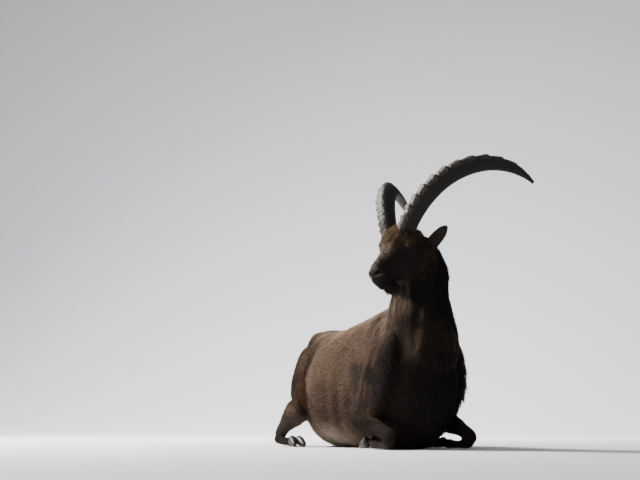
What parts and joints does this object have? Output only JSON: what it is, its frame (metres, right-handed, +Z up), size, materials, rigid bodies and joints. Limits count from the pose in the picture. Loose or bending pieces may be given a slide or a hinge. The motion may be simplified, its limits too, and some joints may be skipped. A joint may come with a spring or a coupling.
{
  "type": "alpine ibex",
  "caption": "Life-size male alpine ibex lying on its chest with folded legs, its head turned to its right under long ridged horns that curve back.",
  "frame": {"origin": "the floor point under the middle of the bounding box", "axes": "-Y is the way the breast faces, +X is the animal's left side, +Z is up from the floor it lies on"},
  "size_m": [0.683, 1.11, 1.0659],
  "materials": {
    "coat": "short dense fur, grey tan",
    "mane": "longer dark brown fur of the neck",
    "face": "short brown fur of the head and ears",
    "legs": "short dark brown fur",
    "horn": "dry ridged horn, dark with paler knobs",
    "hoof": "dark dry horn of the hooves",
    "eye": "wet amber eye"
  },
  "bodies": {
    "root": {"eye_left": "eye", "eye_right": "eye", "head": "face", "torso": "coat", "neck": "mane", "horn_left": "horn", "ear_left": "face", "foreleg_upper_left": "legs", "foreleg_lower_left": "legs", "hindleg_thigh_left": "coat", "hindleg_shank_left": "legs", "hindleg_lower_left": "legs", "hoof_fore_left_outer": "hoof", "hoof_hind_left_outer": "hoof", "hoof_fore_left_inner": "hoof", "hoof_hind_left_inner": "hoof", "horn_right": "horn", "ear_right": "face", "foreleg_upper_right": "legs", "foreleg_lower_right": "legs", "hindleg_thigh_right": "coat", "hindleg_shank_right": "legs", "hindleg_lower_right": "legs", "hoof_fore_right_outer": "hoof", "hoof_hind_right_outer": "hoof", "hoof_fore_right_inner": "hoof", "hoof_hind_right_inner": "hoof", "tail": "legs"}
  },
  "joints": []
}
